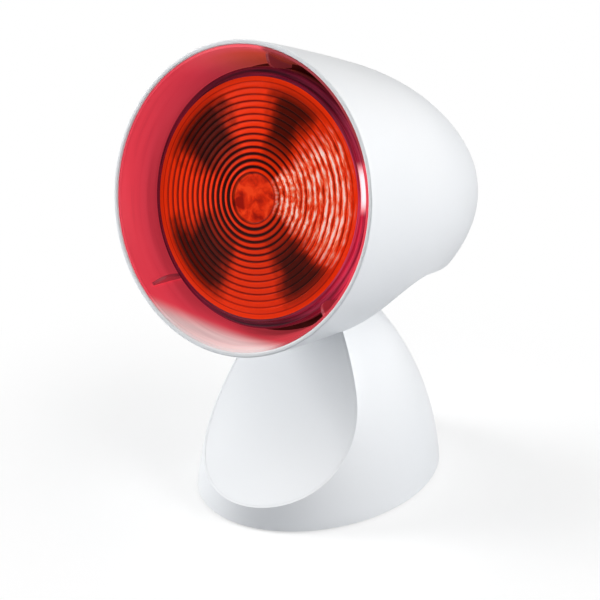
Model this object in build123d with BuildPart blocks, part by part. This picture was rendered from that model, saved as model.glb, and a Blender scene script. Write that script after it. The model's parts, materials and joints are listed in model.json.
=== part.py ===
"""Infrared heat therapy lamp: a bell-shaped head with a reflector bulb, tilting on a dome-shaped stand.

Millimetres, +Z up. The origin is on the floor under the middle of the lamp, which faces -Y.
"""
from build123d import *
import math
import os

os.makedirs("parts", exist_ok=True)

# ---------------------------------------------------------------- driving dimensions
# bell of the head, measured along its axis backwards from the rim (s) and outwards from that axis (r)
rim_room = 12.5  # from the bulb's flange out to the rim
rim_taper = 5.95  # slope of the wall at the rim, degrees
flank_r = 1250.0
shoulder_r = 205.0
crown_angle = 60.1  # where the round end takes over from the shoulder
holder_room = 11.69  # from the lampholder's bracket back to the bell's end
shell_wall = 2.2
rim_round = 0.7
head_tilt = 18.84  # the head looks up by this much at rest
rim_ahead = 60.7  # rim centre ahead of the middle of the stand
rim_height = 168.3
seat_gap = 0.15  # clearance of a part that sits inside another

# cut-away at the lower back of the head, closed by the underside cover
notch_front = 53.0
notch_top = -24.0
notch_round = 32.0
cover_wall = 2.4
bulb_room = 3.5  # space between the bulb and the cover
vent_width = 3.0
vent_length = 18.0
vent_pitch = 6.5
vent_rows = 5
vent_start = 92.0
vent_margin = 1.46  # from the last vent out to the shell
cover_screws_s = (92.0, 128.0)
cover_screw_inset = 5.5
cover_boss_height = 12.0
boss_r = 4.2
boss_rib = 3.0

# reflector bulb, 121 mm across and 136 mm long, with a screw cap
bulb_set_back = 16.2  # front of the bulb's flange behind the rim
flange_r = 60.5
flange_thickness = 8.0
flange_round = 1.5
lens_lip = 3.0  # from the lens's side out to the flange's edge
lens_step = 3.4  # the lens stands this far ahead of the flange
lens_crown = 2.6
lens_round = 1.5
lens_thickness = 3.2
glass_wall = 2.0
bowl_step = 2.5  # from the flange in to the bowl
bowl_end_r = 24.0
bowl_depth = 72.0  # from the flange's front
bowl_curve_r = 236.0
neck_run = 27.5
neck_r = 11.6
neck_length = 4.5
cap_gap = 1.5
cap_length = 23.0
cap_r = 13.1
cap_wall = 0.6
cap_bevel = 1.2
cap_hole_r = 7.0
thread_pitch = 3.6
thread_turns = 5
thread_round = 0.9
thread_height = 0.6
insulator_length = 3.5
insulator_r = 9.0
contact_r = 4.5
contact_length = 2.5
contact_round = 0.8
filament_depth = 58.0
filament_half = 7.0
filament_r = 0.9
support_r = 0.6
stem_ahead = 19.5
stem_half_width = 8.5
stem_thickness = 5.0
stem_base = 1.5

# liner in the mouth of the bell, with fins that centre the bulb
liner_front = 0.6
liner_wall = 1.2
liner_throat = 15.0
liner_throat_room = 4.4  # from the bulb's flange out to the liner
liner_back = 30.0
liner_back_room = 1.5
fin_angles = (-3.5, 126.0, -141.5)
fin_thickness = 1.6
fin_gap = 0.3
fin_front = 4.0
fin_foot = 13.0
fin_back = 24.5

# heat shield behind the bulb
shield_gap = 1.6
shield_wall = 0.6
shield_short = 4.2  # the shield ends this far ahead of the bowl's end

# lampholder and its bracket
holder_r = 18.0
holder_over = 4.2  # the lampholder reaches this far ahead of the cap
holder_floor = 3.5
holder_shell_wall = 0.5
thread_gap = 0.3
contact_disc_r = 5.0
contact_disc = 1.0
bracket_thickness = 1.5
bracket_half_width = 8.0
bracket_end_gap = 1.02
bracket_edge = 3.0
bracket_screw_grip = 4.0
holder_screw_x = 9.0
holder_screw_grip = 3.0

# dome of the stand, round in X and stretched in Y
foot_half_width = 53.1
foot_half_length = 67.2
foot_lift = 1.0
dome_r = 170.5
dome_draft = 3.7
neck_rise = 11.16  # neck's top above the hinge
neck_round = 1.2
stand_wall = 2.4

# front panel: its side outline is an arc and a straight run, swept about an upright axis behind
toe_ahead = 66.98
toe_height = 10.15
toe_slope = 26.9
scoop_r = 94.0
panel_slope = 69.3
panel_pivot = 130.0
panel_thickness = 1.6
panel_border = 0.8
panel_fit = 0.1
panel_backing = 1.8

# tilt joint, placed in the head's side view
hinge_s = 94.0
hinge_v = -54.0
barrel_r = 9.0
barrel_half = 7.0
pivot_r = 4.0
running_gap = 0.05
pivot_reach = 3.4  # how near the middle the pivot screws end
pivot_end_gap = 0.3
lug_half = 6.0
lug_behind_bowl = 10.8
friction_washer = 0.5
washer_gap = 0.05
washer_r = 7.5
spring_washer = 0.6
pivot_head = 2.4
pivot_head_r = 4.8
hex_r = 2.0
hex_depth = 1.2
slot_gap = 1.4
slot_rise = 1.0

# yoke bracket in the neck of the stand
arm_thickness = 2.0
arm_half = 7.0
yoke_drop = 24.84  # from the hinge down to the bracket's foot
yoke_half_length = 24.0
yoke_half_width = 8.0
yoke_hole_r = 3.5
yoke_screw_x = 18.0

# bottom of the stand
foot_pad_r = 7.0
foot_pad_x = 30.0
foot_pad_y = 40.0
foot_pad_round = 0.5
plate_z = 1.5
plate_thickness = 2.5
base_screw_x = 43.0
base_screw_y = 22.0
base_screw_head = 1.4
base_screw_sink = 0.7
ballast_half_x = 38.0
ballast_half_y = 32.0
ballast_height = 8.0
ballast_ahead = 18.0
ballast_edge = 1.0
ballast_screw_x = 24.0
ballast_screw_grip = 1.8

# screws
screw_r = 1.5
screw_gap = 0.1
screw_head_r = 2.75
screw_head = 1.8
screw_grip = 8.0
screw_slot = 0.8
screw_slot_length = 3.8
screw_slot_depth = 1.0

# leads and terminals
lead_r = 1.3
lead_room = 0.6
lead_swing = 8.0
lead_end_gap = 1.2
lead_sink = 12.0
lead_bend_share = 0.45
wire_rise = 2.5
terminal_size = (24.0, 16.0, 14.0)
terminal_y = 30.0
terminal_pitch = 7.0
terminal_round = 1.0
insert_r = 2.6
insert_sink = 10.0
terminal_screw_z = 7.0
terminal_screw_r = 1.2
wire_r = 1.1

# cord gland at the back
gland_z = 13.0
gland_bore_r = 3.4
gland_r = 4.6
gland_flange_r = 7.0
gland_flange = 1.6
gland_round = 0.8
gland_recess = 1.2
gland_seat = 3.0  # wall that the gland clamps
gland_nut_r = 7.6
gland_nut_height = 2.5
gland_end = 0.8
gland_pad = 0.6

# rocker switch at the back
switch_z = 37.0
switch_pocket = (17.0, 23.0)
switch_pocket_depth = 2.0
switch_pocket_round = 2.0
switch_pad = 1.6
switch_pad_depth = 2.4
bezel_size = (15.0, 21.0)
bezel_height = 1.5
bezel_round = 1.5
switch_size = (12.8, 18.8)
switch_depth = 12.0
switch_floor = 6.4
rocker_half_width = 4.5
rocker_end_r = 7.4
rocker_room = 0.5
rocker_rest = -8.0
rocker_rise = 4.2
rocker_valley = 2.6
rocker_depth = 3.5
rocker_sink = 1.0  # pivot below the floor of the pocket
pin_r = 1.0
pin_seat = 1.0
tab_width = 4.8
tab_thickness = 0.8
tab_length = 8.0
tab_x = 4.0

far = 200.0  # a cut this long ends outside the lamp


# ---------------------------------------------------------------- places behind the rim
flange_back = bulb_set_back + flange_thickness
flange_seam = bulb_set_back + flange_thickness / 2
bowl_back_s = bulb_set_back + bowl_depth
neck_s = bowl_back_s + neck_run
neck_end_s = neck_s + neck_length
stem_s = neck_s - stem_ahead
filament_s = bulb_set_back + filament_depth
cap_s = neck_s + cap_gap
cap_end_s = cap_s + cap_length
insulator_end_s = cap_end_s + insulator_length
bulb_end_s = insulator_end_s + contact_length
holder_front = cap_s - holder_over
holder_floor_s = bulb_end_s + contact_disc
holder_back_s = holder_floor_s + holder_floor
bracket_back_s = holder_back_s + bracket_thickness
bell_end_s = bracket_back_s + holder_room
lug_top_s = bowl_back_s + lug_behind_bowl


# ---------------------------------------------------------------- outline of the bell
def polar(center, radius, angle):
    """Point of a circle at an angle in degrees."""
    turn = math.radians(angle)
    return center[0] + radius * math.cos(turn), center[1] + radius * math.sin(turn)


rim_r = flange_r + rim_room
flank_angle = 90 - rim_taper
flank_center = polar((0, rim_r), -flank_r, flank_angle)
half_crown = math.radians(crown_angle / 2)
shoulder_reach = bell_end_s - flank_center[0] - shoulder_r - math.tan(half_crown) * flank_center[1]
shoulder_half = math.acos(shoulder_reach * math.cos(half_crown) / (flank_r - shoulder_r))
shoulder_angle = crown_angle / 2 + math.degrees(shoulder_half)
shoulder_start = polar(flank_center, flank_r, shoulder_angle)
shoulder_center = polar(shoulder_start, -shoulder_r, shoulder_angle)
crown_start = polar(shoulder_center, shoulder_r, crown_angle)
crown_r = crown_start[1] / math.sin(2 * half_crown)
crown_center = bell_end_s - crown_r


def bell_radius(s, inset):
    """Radius at s of the bell moved inwards by inset."""
    center, radius = (crown_center, 0), crown_r
    if s < crown_start[0]:
        center, radius = shoulder_center, shoulder_r
    if s < shoulder_start[0]:
        center, radius = flank_center, flank_r
    return center[1] + math.sqrt((radius - inset) ** 2 - (s - center[0]) ** 2)


# ---------------------------------------------------------------- frames of the head and the stand
tilt = math.radians(head_tilt)
backwards = Vector(0, math.cos(tilt), -math.sin(tilt))
front_reach = rim_ahead + rim_r * math.sin(tilt)
back_reach = crown_center * math.cos(tilt) + crown_r - rim_ahead
foot_y = (front_reach - back_reach) / 2  # puts the origin in the middle of the lamp's length
side = Plane(origin=(0, foot_y - rim_ahead, rim_height), x_dir=backwards, z_dir=(1, 0, 0))
head_axis = Axis(side.origin, backwards)


def in_head(s, v, x=0.0):
    """Point at s behind the rim, v above the head's axis and x to the side."""
    return side.from_local_coords((s, v, x))


def station(s):
    """Plane across the head at s that faces forwards, with its Y upwards."""
    return Plane(origin=in_head(s, 0), x_dir=(1, 0, 0), z_dir=backwards * -1)


def ceiling(v):
    """Plane along the head at height v that faces up, with its X backwards."""
    return Plane(origin=in_head(0, v), x_dir=backwards, z_dir=side.y_dir)


def level(z):
    """Level plane at height z, centred on the stand."""
    return Plane(origin=(0, foot_y, z))


hinge_point = in_head(hinge_s, hinge_v)
hinge_y = hinge_point.Y - foot_y
hinge_z = hinge_point.Z
neck_top = hinge_z + neck_rise
yoke_z = hinge_z - yoke_drop


def beside(x):
    """Upright plane at x through the hinge that faces +X, with its X backwards."""
    return Plane(origin=(x, hinge_point.Y, hinge_z), x_dir=(0, 1, 0), z_dir=(1, 0, 0))


# ---------------------------------------------------------------- shared forms
def rods(plane, points, radius, length, mode=Mode.ADD):
    """Round rods, or holes, that start at points of a plane and run along its normal."""
    with BuildSketch(plane) as section:
        with Locations(*points):
            Circle(radius)
    extrude(section.sketch, amount=length, mode=mode)


def rings(plane, points, radius, bore, length):
    """Flat rings at points of a plane."""
    rods(plane, points, radius, length)
    rods(plane, points, bore, length, mode=Mode.SUBTRACT)


def screws(plane, points, grip, head=screw_head):
    """Cross-head screws whose heads stand on a plane."""
    rods(plane, points, screw_head_r, head)
    rods(plane, points, screw_r, -grip)
    with BuildSketch(plane.offset(head)) as cross:
        with Locations(*points):
            Rectangle(screw_slot_length, screw_slot)
            Rectangle(screw_slot, screw_slot_length)
    extrude(cross.sketch, amount=-screw_slot_depth, mode=Mode.SUBTRACT)


def mirrored(points):
    """Each point and its twin on the other side of X = 0."""
    return [(x_side * x, y) for x, y in points for x_side in (1, -1)]


def save(builder, name):
    """Label a finished piece and write its STEP file."""
    builder.part.label = name
    export_step(builder.part, f"parts/{name}.step")


def lead(points, radius, name):
    """Insulated lead along a route, with arcs as large as its runs allow."""
    route = [Vector(*point) for point in points]
    runs = [route[i + 1] - route[i] for i in range(len(route) - 1)]
    bends = []
    for before, after in zip(runs, runs[1:]):
        half_turn = math.radians(before.get_angle(after)) / 2
        bends.append(lead_bend_share * min(before.length, after.length) / math.tan(half_turn))
    with BuildPart() as body:
        with BuildLine() as path:
            FilletPolyline(*route, radius=bends)
        with BuildSketch(Plane(origin=path.line @ 0, z_dir=path.line % 0)):
            Circle(radius)
        sweep()
    save(body, name)


def bell(inset, ahead=0.0):
    """Solid bell moved inwards by inset, from ahead of the rim to its back end."""
    start = math.degrees(math.acos((-ahead - flank_center[0]) / (flank_r - inset)))
    with BuildPart() as body:
        with BuildSketch(side):
            with BuildLine():
                CenterArc(flank_center, flank_r - inset, start, shoulder_angle - start)
                CenterArc(shoulder_center, shoulder_r - inset, shoulder_angle, crown_angle - shoulder_angle)
                CenterArc((crown_center, 0), crown_r - inset, crown_angle, -crown_angle)
                Polyline(
                    (crown_center + crown_r - inset, 0),
                    (-ahead, 0),
                    polar(flank_center, flank_r - inset, start),
                )
            make_face()
        revolve(axis=head_axis)
    return body.part


def notch(grow):
    """Prism of the cut-away with its front and top moved into the head by grow."""
    front, top, corner_r = notch_front - grow, notch_top + grow, notch_round + grow
    with BuildPart() as body:
        with BuildSketch(side):
            with BuildLine():
                CenterArc((front + corner_r, top - corner_r), corner_r, 180, -90)
                Polyline(
                    (front + corner_r, top),
                    (far, top),
                    (far, -far),
                    (front, -far),
                    (front, top - corner_r),
                )
            make_face()
        extrude(amount=far, both=True)
    return body.part


# ---------------------------------------------------------------- outline of the bulb's bowl
bowl_start_r = flange_r - bowl_step
bowl_front = (flange_back, bowl_start_r)
bowl_back = (bowl_back_s, bowl_end_r)
bowl_run = (bowl_back[0] - bowl_front[0], bowl_back[1] - bowl_front[1])
bowl_half_turn = math.degrees(math.asin(math.hypot(*bowl_run) / 2 / bowl_curve_r))
bowl_start = math.degrees(math.atan2(bowl_run[1], bowl_run[0])) + 90 + bowl_half_turn
bowl_center = polar(bowl_front, -bowl_curve_r, bowl_start)


def bowl_arc(gap):
    """Arc of the bowl in the head's side view, moved outwards by gap."""
    return CenterArc(bowl_center, bowl_curve_r + gap, bowl_start, -2 * bowl_half_turn)


def bowl_ends(gap):
    """Front and back points of that arc."""
    front = polar(bowl_center, bowl_curve_r + gap, bowl_start)
    back = polar(bowl_center, bowl_curve_r + gap, bowl_start - 2 * bowl_half_turn)
    return front, back


def around_bulb(gap):
    """Solid form of the bowl and neck, with gap round the glass."""
    front, back = bowl_ends(gap)
    with BuildPart() as body:
        with BuildSketch(side):
            with BuildLine():
                bowl_arc(gap)
                Polyline(back, (neck_s, neck_r + gap), (neck_s, 0), (front[0], 0), front)
            make_face()
        revolve(axis=head_axis)
    return body.part


# ---------------------------------------------------------------- head shell
cover_seat = notch_top + cover_wall + seat_gap
bracket_reach = math.sqrt(bell_radius(bracket_back_s, shell_wall) ** 2 - bracket_half_width**2)
bracket_half_length = bracket_reach - bracket_end_gap
bracket_screws_at = mirrored([(bracket_half_length - bracket_edge, 0)])


def cover_half(s):
    """Half width at s of the room inside the shell, at the height of the cover."""
    return math.sqrt(bell_radius(s, shell_wall) ** 2 - notch_top**2)


cover_screw_points = [
    (s, x_side * (cover_half(s) - cover_screw_inset)) for s in cover_screws_s for x_side in (1, -1)
]
boss_limit = bell(shell_wall / 2)
inside_shell = bell(shell_wall + seat_gap)

with BuildPart() as cover_bosses:
    with BuildSketch(ceiling(cover_seat)):
        with Locations(*cover_screw_points):
            Circle(boss_r)
        for s, x in cover_screw_points:
            with Locations((s, x + math.copysign(2 * boss_r, x))):
                Rectangle(boss_rib, 4 * boss_r)
    extrude(amount=cover_boss_height)
    add(boss_limit, mode=Mode.INTERSECT)

with BuildPart() as bracket_bosses:
    rods(station(bracket_back_s), bracket_screws_at, boss_r, -far)
    add(boss_limit, mode=Mode.INTERSECT)

with BuildPart() as head_shell:
    add(bell(0))
    add(bell(shell_wall, ahead=shell_wall), mode=Mode.SUBTRACT)
    rim_face = head_shell.faces().filter_by(Plane(side.origin, z_dir=backwards)).sort_by(head_axis)[0]
    fillet(rim_face.edges(), rim_round)
    add(notch(0), mode=Mode.SUBTRACT)
    add(cover_bosses.part)
    add(bracket_bosses.part)
    rods(ceiling(cover_seat), cover_screw_points, screw_r + screw_gap, screw_grip, Mode.SUBTRACT)
    bracket_seat = station(bracket_back_s)
    rods(bracket_seat, bracket_screws_at, screw_r + screw_gap, -bracket_screw_grip, Mode.SUBTRACT)
save(head_shell, "head_shell")

# ---------------------------------------------------------------- underside cover with the tilt lug
with BuildPart() as open_notch:
    add(notch(0))
    add(around_bulb(bulb_room + cover_wall), mode=Mode.SUBTRACT)

with BuildPart() as tilt_lug:
    with BuildSketch(side):
        with BuildLine():
            Polyline(
                (hinge_s - lug_half, hinge_v),
                (lug_top_s - lug_half, notch_top + cover_wall),
                (lug_top_s + lug_half, notch_top + cover_wall),
                (hinge_s + lug_half, hinge_v),
                close=True,
            )
        make_face()
    extrude(amount=lug_half, both=True)
    with BuildSketch(side):
        with Locations((hinge_s, hinge_v)):
            Circle(barrel_r)
    extrude(amount=barrel_half, both=True)
    add(around_bulb(bulb_room), mode=Mode.SUBTRACT)

lead_slot_half = lead_r + lead_room
last_vent = vent_start + (vent_rows - 1) * vent_pitch
vent_x = cover_half(last_vent) - vent_margin - vent_length / 2

with BuildPart() as underside_cover:
    add(notch(cover_wall))
    add(inside_shell, mode=Mode.INTERSECT)
    add(around_bulb(bulb_room), mode=Mode.SUBTRACT)
    add(open_notch.part, mode=Mode.SUBTRACT)
    add(tilt_lug.part)
    with BuildSketch(side):
        with BuildLine():
            Polyline(
                (hinge_s - lead_slot_half, hinge_v),
                (hinge_s - 2 * lead_slot_half, hinge_v - barrel_r - lead_r),
                (hinge_s + barrel_r + lead_r, hinge_v - barrel_r - lead_r),
                (hinge_s + barrel_r + lead_r, hinge_v - lead_swing),
                (hinge_s + 2 * lead_slot_half, hinge_v),
                (lug_top_s + lug_half, notch_top + 2 * cover_wall),
                (lug_top_s - lead_slot_half, notch_top + 2 * cover_wall),
                close=True,
            )
        make_face()
    extrude(amount=lead_slot_half, both=True, mode=Mode.SUBTRACT)
    for x_side in (1, -1):
        bore_floor = beside(x_side * (pivot_reach - pivot_end_gap))
        rods(bore_floor, [(0, 0)], pivot_r + running_gap, x_side * barrel_half, Mode.SUBTRACT)
    with BuildSketch(ceiling(notch_top)):
        for row in range(vent_rows):
            vent_s = vent_start + row * vent_pitch
            with Locations((vent_s, vent_x), (vent_s, -vent_x)):
                Rectangle(vent_width, vent_length)
    extrude(amount=2 * cover_wall, both=True, mode=Mode.SUBTRACT)
    rods(ceiling(notch_top), cover_screw_points, screw_r + screw_gap, 2 * cover_wall, Mode.SUBTRACT)
save(underside_cover, "underside_cover")

# ---------------------------------------------------------------- bulb
lens_r = flange_r - lens_lip
lens_edge_s = bulb_set_back - lens_step
crown_edge_r = lens_r - lens_round
lens_curve_r = (crown_edge_r**2 + lens_crown**2) / (2 * lens_crown)
lens_center = lens_edge_s - lens_crown + lens_curve_r
lens_turn = math.degrees(math.asin(crown_edge_r / lens_curve_r))
lens_bore = bowl_start_r - glass_wall
lens_inner_r = lens_curve_r - lens_thickness
lens_inner_turn = math.degrees(math.asin(lens_bore / lens_inner_r))
lens_inner_edge = polar((lens_center, 0), lens_inner_r, 180 - lens_inner_turn)

with BuildPart() as bulb_lens:
    with BuildSketch(side):
        with BuildLine():
            CenterArc((lens_center, 0), lens_curve_r, 180, -lens_turn)
            CenterArc((lens_edge_s + lens_round, crown_edge_r), lens_round, 180, -90)
            Polyline(
                (lens_edge_s + lens_round, lens_r),
                (bulb_set_back, lens_r),
                (bulb_set_back, flange_r - flange_round),
            )
            CenterArc((bulb_set_back + flange_round, flange_r - flange_round), flange_round, 180, -90)
            Polyline(
                (bulb_set_back + flange_round, flange_r),
                (flange_seam, flange_r),
                (flange_seam, lens_bore),
                lens_inner_edge,
            )
            CenterArc((lens_center, 0), lens_inner_r, 180 - lens_inner_turn, lens_inner_turn)
            Line((lens_center - lens_inner_r, 0), (lens_center - lens_curve_r, 0))
        make_face()
    revolve(axis=head_axis)
save(bulb_lens, "bulb_lens")

inner_front, inner_back = bowl_ends(-glass_wall)

with BuildPart() as bulb_reflector:
    with BuildSketch(side):
        with BuildLine():
            Polyline(
                inner_front,
                (flange_seam, lens_bore),
                (flange_seam, flange_r),
                (flange_back - flange_round, flange_r),
            )
            CenterArc((flange_back - flange_round, flange_r - flange_round), flange_round, 90, -90)
            Line((flange_back, flange_r - flange_round), bowl_front)
            bowl_arc(0)
            Polyline(
                bowl_back,
                (neck_s, neck_r),
                (neck_end_s, neck_r),
                (neck_end_s, neck_r - glass_wall),
                (neck_s, neck_r - glass_wall),
                inner_back,
            )
            bowl_arc(-glass_wall)
        make_face()
    revolve(axis=head_axis)
save(bulb_reflector, "bulb_reflector")

cap_bore_r = cap_r - thread_height - cap_wall

with BuildPart() as bulb_cap:
    with BuildSketch(side):
        with BuildLine():
            Polyline(
                (cap_s, cap_bore_r),
                (cap_s, cap_r),
                (cap_end_s - cap_bevel, cap_r),
                (cap_end_s, cap_r - cap_bevel),
                (cap_end_s, cap_hole_r),
                (cap_end_s - cap_wall, cap_hole_r),
                (cap_end_s - cap_wall, cap_bore_r),
                close=True,
            )
        make_face()
        for turn in range(thread_turns):
            with Locations((cap_s + (turn + 1) * thread_pitch, cap_r + thread_round - thread_height)):
                Circle(thread_round, mode=Mode.SUBTRACT)
    revolve(axis=head_axis)
save(bulb_cap, "bulb_cap")

with BuildPart() as bulb_insulator:
    with BuildSketch(side):
        with BuildLine():
            Polyline(
                (cap_end_s, 0),
                (cap_end_s, insulator_r),
                (insulator_end_s, contact_r + cap_wall),
                (insulator_end_s, 0),
                close=True,
            )
        make_face()
    revolve(axis=head_axis)
save(bulb_insulator, "bulb_insulator")

with BuildPart() as bulb_contact:
    rods(station(insulator_end_s), [(0, 0)], contact_r, -contact_length)
    fillet(bulb_contact.edges().group_by(head_axis)[-1], contact_round)
save(bulb_contact, "bulb_contact")

with BuildPart() as bulb_stem:
    with BuildSketch(station(stem_s)):
        SlotOverall(2 * stem_half_width, stem_thickness)
    extrude(amount=stem_s - neck_end_s + stem_base)
    rods(station(neck_end_s), [(0, 0)], neck_r - glass_wall, stem_base)
save(bulb_stem, "bulb_stem")

filament_across = Plane(origin=in_head(filament_s, 0, -filament_half), z_dir=(1, 0, 0))

with BuildPart() as filament:
    rods(filament_across, [(0, 0)], filament_r, 2 * filament_half)
save(filament, "filament")

support_x = filament_half + support_r

with BuildPart() as filament_supports:
    rods(station(stem_s), [(support_x, 0), (-support_x, 0)], support_r, stem_s - filament_s + filament_r)
save(filament_supports, "filament_supports")

# ---------------------------------------------------------------- liner in the mouth, with its fins
liner_mouth_r = bell_radius(liner_front, shell_wall) - seat_gap - liner_wall
liner_throat_r = flange_r + liner_throat_room
liner_back_r = flange_r + liner_back_room


def liner_face(outwards):
    """Sketch of the space inside the liner's curve moved outwards."""
    mouth = (liner_front, liner_mouth_r + outwards)
    back = (liner_back, liner_back_r + outwards)
    with BuildSketch() as section:
        with BuildLine():
            ThreePointArc(mouth, (liner_throat, liner_throat_r + outwards), back)
            Polyline(back, (liner_back, 0), (liner_front, 0), mouth)
        make_face()
    return section.sketch


with BuildPart() as fins:
    with BuildSketch(side):
        with BuildLine():
            l_top = Line((fin_front, rim_r), (fin_back, rim_r))
            Polyline(l_top @ 1, (fin_back, flange_r + fin_gap), (fin_foot, flange_r + fin_gap))
            TangentArc((fin_foot, flange_r + fin_gap), (fin_front, liner_mouth_r), tangent=(-1, 0))
            Line((fin_front, liner_mouth_r), l_top @ 0)
        make_face()
    extrude(amount=fin_thickness / 2, both=True)

with BuildPart() as fin_limit:
    with BuildSketch(side):
        add(liner_face(liner_wall / 2))
    revolve(axis=head_axis)

with BuildPart() as shroud_liner:
    with BuildSketch(side):
        add(liner_face(liner_wall))
        add(liner_face(0), mode=Mode.SUBTRACT)
    revolve(axis=head_axis)
    for angle in fin_angles:
        add((fins.part & fin_limit.part).rotate(head_axis, angle))
save(shroud_liner, "shroud_liner")

# ---------------------------------------------------------------- heat shield behind the bulb
shield_flange_r = liner_back_r + liner_wall - seat_gap


def bowl_face(gap):
    """Sketch of the space inside the bowl's curve moved outwards by gap."""
    front, back = bowl_ends(gap)
    with BuildSketch() as section:
        with BuildLine():
            bowl_arc(gap)
            Polyline(back, (back[0], 0), (front[0], 0), front)
        make_face()
    return section.sketch


with BuildPart() as heat_shield:
    with BuildSketch(side):
        add(bowl_face(shield_gap + shield_wall))
        with Locations((liner_back, 0)):
            Rectangle(shield_wall, shield_flange_r, align=Align.MIN)
            Rectangle(far, far, align=(Align.MAX, Align.MIN), mode=Mode.SUBTRACT)
        with Locations((bowl_back_s - shield_short, 0)):
            Rectangle(far, far, align=Align.MIN, mode=Mode.SUBTRACT)
        add(bowl_face(shield_gap), mode=Mode.SUBTRACT)
    revolve(axis=head_axis)
save(heat_shield, "heat_shield")

# ---------------------------------------------------------------- lampholder
thread_r = cap_r + thread_gap
holder_bore_r = thread_r + holder_shell_wall + seat_gap
lead_hole_v = -(holder_bore_r + holder_r) / 2

with BuildPart() as lampholder_body:
    rods(station(holder_back_s), [(0, 0)], holder_r, holder_back_s - holder_front)
    fillet(lampholder_body.edges().group_by(head_axis)[0], holder_shell_wall)
    rods(station(holder_floor_s), [(0, 0)], holder_bore_r, far, Mode.SUBTRACT)
    rods(station(holder_front), [(0, lead_hole_v)], lead_r + screw_gap, -lead_sink, Mode.SUBTRACT)
    rods(
        station(holder_back_s),
        mirrored([(holder_screw_x, 0)]),
        screw_r + screw_gap,
        holder_screw_grip,
        Mode.SUBTRACT,
    )
save(lampholder_body, "lampholder_body")

with BuildPart() as lampholder_thread:
    rings(
        station(holder_floor_s),
        [(0, 0)],
        thread_r + holder_shell_wall,
        thread_r,
        holder_floor_s - holder_front - thread_pitch,
    )
save(lampholder_thread, "lampholder_thread")

with BuildPart() as lampholder_contact:
    rods(station(holder_floor_s), [(0, 0)], contact_disc_r, contact_disc)
save(lampholder_contact, "lampholder_contact")

with BuildPart() as lampholder_bracket:
    with BuildSketch(station(bracket_back_s)):
        RectangleRounded(2 * bracket_half_length, 2 * bracket_half_width, screw_head_r)
        with Locations(*bracket_screws_at, *mirrored([(holder_screw_x, 0)])):
            Circle(screw_r + screw_gap, mode=Mode.SUBTRACT)
    extrude(amount=bracket_thickness)
save(lampholder_bracket, "lampholder_bracket")

with BuildPart() as bracket_screws:
    screws(station(holder_back_s), bracket_screws_at, bracket_thickness + bracket_screw_grip - seat_gap)
save(bracket_screws, "bracket_screws")

bracket_behind = Plane(origin=in_head(bracket_back_s, 0), x_dir=(1, 0, 0), z_dir=backwards)

with BuildPart() as holder_screws:
    screws(
        bracket_behind,
        mirrored([(holder_screw_x, 0)]),
        bracket_thickness + holder_screw_grip - seat_gap,
    )
save(holder_screws, "holder_screws")

cover_underside = Plane(origin=in_head(0, notch_top), x_dir=backwards, z_dir=side.y_dir * -1)

with BuildPart() as cover_screws:
    screws(cover_underside, cover_screw_points, cover_wall + screw_grip)
save(cover_screws, "cover_screws")

lead(
    [
        in_head(hinge_s, hinge_v),
        in_head(lug_top_s, notch_top - cover_wall),
        in_head(holder_front - lug_half, lead_hole_v),
        in_head(holder_front + lead_sink - seat_gap, lead_hole_v),
    ],
    lead_r,
    "head_lead",
)

# ---------------------------------------------------------------- forms of the stand
dome_center = polar((foot_half_width, 0), -dome_r, dome_draft)


def dome(inset, bottom=foot_lift, top=neck_top):
    """Solid dome moved inwards by inset, between two heights."""
    radius = dome_r - inset
    start = math.degrees(math.asin((bottom - dome_center[1]) / radius))
    end = math.degrees(math.asin((top - dome_center[1]) / radius))
    with BuildPart() as body:
        with BuildSketch(Plane.XZ):
            with BuildLine():
                CenterArc(dome_center, radius, start, end - start)
                Polyline(
                    polar(dome_center, radius, end),
                    (0, top),
                    (0, bottom),
                    polar(dome_center, radius, start),
                )
            make_face()
        revolve(axis=Axis.Z)
        scale(by=(1, (foot_half_length - inset) / (foot_half_width - inset), 1))
    return Pos(0, foot_y, 0) * body.part


def dome_back(z):
    """Distance of the dome's back from the middle of the stand at height z."""
    reach = dome_center[0] + math.sqrt(dome_r**2 - (z - dome_center[1]) ** 2)
    return reach * foot_half_length / foot_half_width


def behind_panel(inset):
    """Everything behind the panel's face moved into the stand by inset."""
    start, end = math.radians(toe_slope), math.radians(panel_slope)
    toe = (panel_pivot + toe_ahead, toe_height)
    center = (toe[0] + scoop_r * math.sin(start), toe[1] + scoop_r * math.cos(start))
    radius = scoop_r + inset
    low = (center[0] - radius * math.sin(start), center[1] - radius * math.cos(start))
    high = (center[0] - radius * math.sin(end), center[1] - radius * math.cos(end))
    tip = (low[0] + scoop_r * math.cos(start), low[1] - scoop_r * math.sin(start))
    peak = (high[0] - far * math.cos(end), high[1] + far * math.sin(end))
    pivot = Plane(origin=(0, foot_y + panel_pivot, 0), x_dir=(0, -1, 0), z_dir=(-1, 0, 0))
    with BuildPart() as body:
        with BuildSketch(pivot):
            with BuildLine():
                Line(tip, low)
                CenterArc(center, radius, 270 - toe_slope, toe_slope - panel_slope)
                Polyline(high, peak, (0, peak[1]), (0, tip[1]), tip)
            make_face()
        revolve(axis=Axis((0, foot_y + panel_pivot, 0), (0, 0, 1)))
    return body.part


# ---------------------------------------------------------------- stand shell
plate_top = plate_z + plate_thickness
base_screws_at = mirrored([(base_screw_x, base_screw_y), (base_screw_x, -base_screw_y)])
yoke_screws_at = mirrored([(yoke_screw_x, hinge_y)])
yoke_top = yoke_z + arm_thickness
gland_seat_y = dome_back(gland_z) - gland_recess
gland_inner_y = gland_seat_y - gland_seat


def facing_back(y, z):
    """Upright plane behind the middle of the stand that faces backwards."""
    return Plane(origin=(0, foot_y + y, z), x_dir=(-1, 0, 0), z_dir=(0, 1, 0))


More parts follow.
